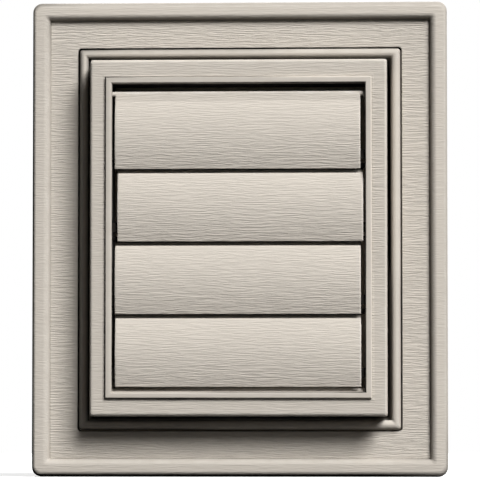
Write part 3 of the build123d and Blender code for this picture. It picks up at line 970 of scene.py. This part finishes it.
def buildNailSlots():
    tree, given, result = newTree(
        "nailSlots",
        "GeometryNodeTree",
        [
            ("Geometry", "NodeSocketGeometry", None),
            ("Slot Length", "NodeSocketFloat", 0.024),
            ("Slot Width", "NodeSocketFloat", 0.005),
            ("Level Spacing", "NodeSocketFloat", 0.088),
            ("Level Height", "NodeSocketFloat", 0.178),
            ("Side Width", "NodeSocketFloat", 0.15),
            ("Side Spacing", "NodeSocketFloat", 0.1),
            ("Depth", "NodeSocketFloat", 0.01),
            ("Material", "NodeSocketMaterial", None),
        ],
        [("Geometry", "NodeSocketGeometry")],
    )
    disc = addNode(
        tree,
        "GeometryNodeMeshCircle",
        {"Vertices": 32, "Radius": calc(tree, "MULTIPLY", given["Slot Width"], 0.5)},
        fill_type="NGON",
    )
    place = addNode(tree, "GeometryNodeInputPosition").outputs[0]
    sideways = calc(tree, "SIGN", axes(tree, place)[0])
    stretch = calc(tree, "MULTIPLY", calc(tree, "SUBTRACT", given["Slot Length"], given["Slot Width"]), 0.5)
    outward = xyz(tree, calc(tree, "MULTIPLY", sideways, stretch), 0.0, 0.0)
    oblong = addNode(tree, "GeometryNodeSetPosition", {"Geometry": disc.outputs[0], "Offset": outward})
    lid = addNode(
        tree,
        "GeometryNodeExtrudeMesh",
        {
            "Mesh": oblong.outputs[0],
            "Offset": (0.0, 0.0, 1.0),
            "Offset Scale": given["Depth"],
            "Individual": False,
        },
    )
    floor = addNode(tree, "GeometryNodeFlipFaces", {"Mesh": oblong.outputs[0]})
    walls = tree.nodes.new("GeometryNodeJoinGeometry")
    tree.links.new(lid.outputs["Mesh"], walls.inputs[0])
    tree.links.new(floor.outputs[0], walls.inputs[0])
    closed = addNode(tree, "GeometryNodeMergeByDistance", {"Geometry": walls.outputs[0], "Distance": 1e-6})
    cutter = addNode(
        tree,
        "GeometryNodeTransform",
        {
            "Geometry": closed.outputs[0],
            "Translation": xyz(tree, 0.0, 0.0, calc(tree, "MULTIPLY", given["Depth"], -0.5)),
        },
    )
    both = tree.nodes.new("GeometryNodeJoinGeometry")
    for width, height, quarter in (
        (given["Level Spacing"], given["Level Height"], 0.0),
        (given["Side Width"], given["Side Spacing"], math.pi / 2),
    ):
        grid = addNode(
            tree,
            "GeometryNodeMeshGrid",
            {"Size X": width, "Size Y": height, "Vertices X": 2, "Vertices Y": 2},
        )
        slots = addNode(
            tree,
            "GeometryNodeInstanceOnPoints",
            {"Points": grid.outputs[0], "Instance": cutter.outputs[0], "Rotation": (0.0, 0.0, quarter)},
        )
        tree.links.new(slots.outputs[0], both.inputs[0])
    upright = addNode(
        tree,
        "GeometryNodeTransform",
        {"Geometry": both.outputs[0], "Rotation": (math.pi / 2, 0.0, 0.0)},
    )
    cutters = addNode(tree, "GeometryNodeRealizeInstances", {0: upright.outputs[0]})
    cut = addNode(tree, "GeometryNodeMeshBoolean", operation="DIFFERENCE", solver="EXACT")
    tree.links.new(given["Geometry"], cut.inputs["Mesh 1"])
    tree.links.new(cutters.outputs[0], cut.inputs["Mesh 2"])
    closeTree(tree, cut.outputs[0], given["Material"], result)
    return tree


def buildMountingBase():
    sizes = baseSizes
    flangeX, flangeZ, plate = sizes["flangeX"], sizes["flangeZ"], sizes["plate"]
    sleeveX, sleeveZ, sleeveTop = sizes["sleeveX"], sizes["sleeveZ"], sizes["sleeveTop"]
    wall = sizes["wall"]
    outer, bore, end = sizes["collar"], sizes["collar"] - wall, -sizes["collarLength"]
    rails = [
        rail(flangeX, flangeZ, 0.0, corner=4.0, soft=0.3, grain=0.3),
        rail(flangeX, flangeZ, plate, corner=4.0, soft=0.3, grain=0.3),
        rail(sleeveX, sleeveZ, plate, corner=0.5, soft=0.4, grain=0.3),
        rail(sleeveX, sleeveZ, sleeveTop, corner=0.5, soft=0.3, grain=0.3),
        rail(sleeveX - wall, sleeveZ - wall, sleeveTop, corner=0.4, soft=0.3, grain=0.3),
        rail(sleeveX - wall, sleeveZ - wall, plate, corner=0.4, soft=0.4, grain=0.3),
        rail(bore, bore, plate, corner=bore, soft=0.4, grain=0.3),
        rail(bore, bore, end, corner=bore, soft=0.4, grain=0.3),
        rail(outer, outer, end, corner=outer, soft=0.8, grain=0.3),
        rail(outer, outer, 0.0, corner=outer, soft=0.4, grain=0.3),
    ]
    base = loftFrame("mountingBase", rails, arcSteps=26, sideSteps=1)
    runNodes(
        base,
        buildNailSlots(),
        {
            "Slot Length": sizes["slotLength"] * mm,
            "Slot Width": sizes["slotWidth"] * mm,
            "Level Spacing": sizes["levelSpacing"] * mm,
            "Level Height": (flangeZ + sleeveZ) * mm,
            "Side Width": (flangeX + sleeveX) * mm,
            "Side Spacing": sizes["sideSpacing"] * mm,
            "Depth": 4 * plate * mm,
            "Material": basePlastic,
        },
    )
    finishPiece(base, "mounting_base", "vent_body")


buildMountingBase()

# Floor, light, world and camera
studio = {
    "floorSize": 3.0,
    "floorColor": (0.05, 0.05, 0.05, 1.0),  # what the floor sends back onto the part
    "floorSeen": (0.8, 0.8, 0.8, 1.0),  # its colour to the camera
    "glowNear": 0.4,  # white added for the camera, beside the part and further out
    "glowFar": 1.0,
    "glowStart": 0.1,  # how far from the part that change begins and ends
    "glowEnd": 0.6,
    "keyFrom": (0.44, -0.58, 0.665),
    "keyDistance": 8.0,
    "keySize": 3.5,
    "keyPower": 950.0,
    "backFrom": (-0.25, 0.45, 0.86),
    "backDistance": 1.25,
    "backSize": 0.7,
    "backPower": 9.0,
    "fillFront": 0.018,
    "fillBack": 0.1,
    "fillTurn": 0.4,  # how far to either side the fill changes from front to back
}


def backdropRays(tree):
    # 1 for the rays that see the backdrop as such, 0 for those that carry its light
    rays = addNode(tree, "ShaderNodeLightPath").outputs
    direct = calc(tree, "MAXIMUM", rays["Is Camera Ray"], rays["Is Glossy Ray"])
    return calc(tree, "MAXIMUM", direct, rays["Is Transmission Ray"])


def buildStudio():
    mesh = bpy.data.meshes.new("studioFloor")
    half, level = studio["floorSize"] / 2, cadLow.z - 0.0002
    corners = [(-half, -half, level), (half, -half, level), (half, half, level), (-half, half, level)]
    mesh.from_pydata(corners, [], [(0, 1, 2, 3)])
    floor = bpy.data.objects.new("studioFloor", mesh)
    scene.collection.objects.link(floor)
    floor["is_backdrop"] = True
    paper = bpy.data.materials.new("paleFloor")
    paper.use_nodes = True
    tree = paper.node_tree
    shader = tree.nodes["Principled BSDF"]
    shader.inputs["Roughness"].default_value = 0.9
    shader.inputs["Specular IOR Level"].default_value = 0.0
    shader.inputs["Emission Color"].default_value = (1, 1, 1, 1)
    away = addNode(
        tree,
        "ShaderNodeVectorMath",
        {0: addNode(tree, "ShaderNodeTexCoord").outputs["Object"], 1: (0.0, 0.0, level)},
        operation="DISTANCE",
    )
    glow = remap(
        tree,
        away.outputs["Value"],
        studio["glowStart"],
        studio["glowEnd"],
        studio["glowNear"],
        studio["glowFar"],
        kind="SMOOTHSTEP",
    )
    plainRays = backdropRays(tree)
    tones = {0: plainRays, 1: studio["floorColor"], 2: studio["floorSeen"]}
    seen = addNode(tree, "ShaderNodeMixRGB", tones)
    tree.links.new(seen.outputs[0], shader.inputs["Base Color"])
    tree.links.new(calc(tree, "MULTIPLY", plainRays, glow), shader.inputs["Emission Strength"])
    mesh.materials.append(paper)

    for name in ("key", "back"):
        toward = Vector(studio[name + "From"]).normalized()
        lamp = bpy.data.lights.new(name + "Light", "AREA")
        lamp.shape = "SQUARE"
        lamp.size = studio[name + "Size"]
        lamp.energy = studio[name + "Power"]
        light = bpy.data.objects.new(name + "Light", lamp)
        light.location = toward * studio[name + "Distance"]
        light.rotation_mode = "QUATERNION"
        light.rotation_quaternion = (-toward).to_track_quat("-Z", "Y")
        scene.collection.objects.link(light)

    world = bpy.data.worlds.new("studioWorld")
    scene.world = world
    world.use_nodes = True
    tree = world.node_tree
    tree.nodes.clear()
    bright = backdropRays(tree)
    way = addNode(tree, "ShaderNodeTexCoord").outputs["Generated"]
    turn = studio["fillTurn"]
    fill = remap(tree, axes(tree, way)[1], -turn, turn, studio["fillFront"], studio["fillBack"])
    soft = addNode(tree, "ShaderNodeBackground", {"Color": (1, 1, 1, 1), "Strength": fill})
    plain = addNode(tree, "ShaderNodeBackground", {"Color": (1, 1, 1, 1), "Strength": 1.0})
    both = addNode(tree, "ShaderNodeMixShader", {0: bright, 1: soft.outputs[0], 2: plain.outputs[0]})
    addNode(tree, "ShaderNodeOutputWorld", {"Surface": both.outputs[0]})


buildStudio()

photoCamera = {
    "azimuth": 2.532,
    "elevation": -3.056,
    "distance": 1.526,
    "target": (0.000227, -0.018, -0.000544),
    "sensor": 36.0,
    "lens": 267.4,
}


def buildCamera():
    turn, rise = math.radians(photoCamera["azimuth"]), math.radians(photoCamera["elevation"])
    ahead = Vector((-math.sin(turn) * math.cos(rise), math.cos(turn) * math.cos(rise), -math.sin(rise)))
    data = bpy.data.cameras.new("photoCamera")
    data.sensor_width = photoCamera["sensor"]
    data.lens = photoCamera["lens"]
    data.clip_start, data.clip_end = 0.05, 50.0
    camera = bpy.data.objects.new("photoCamera", data)
    camera.location = Vector(photoCamera["target"]) - ahead * photoCamera["distance"]
    camera.rotation_mode = "QUATERNION"
    camera.rotation_quaternion = ahead.to_track_quat("-Z", "Y")
    scene.collection.objects.link(camera)
    scene.camera = camera


buildCamera()
scene.view_settings.view_transform = "Standard"
print("studio and camera set")

seenLow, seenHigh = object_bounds()
seenSize = [round((high - low) / mm, 1) for low, high in zip(seenLow, seenHigh)]
print("box of the dressed part in mm:", seenSize)
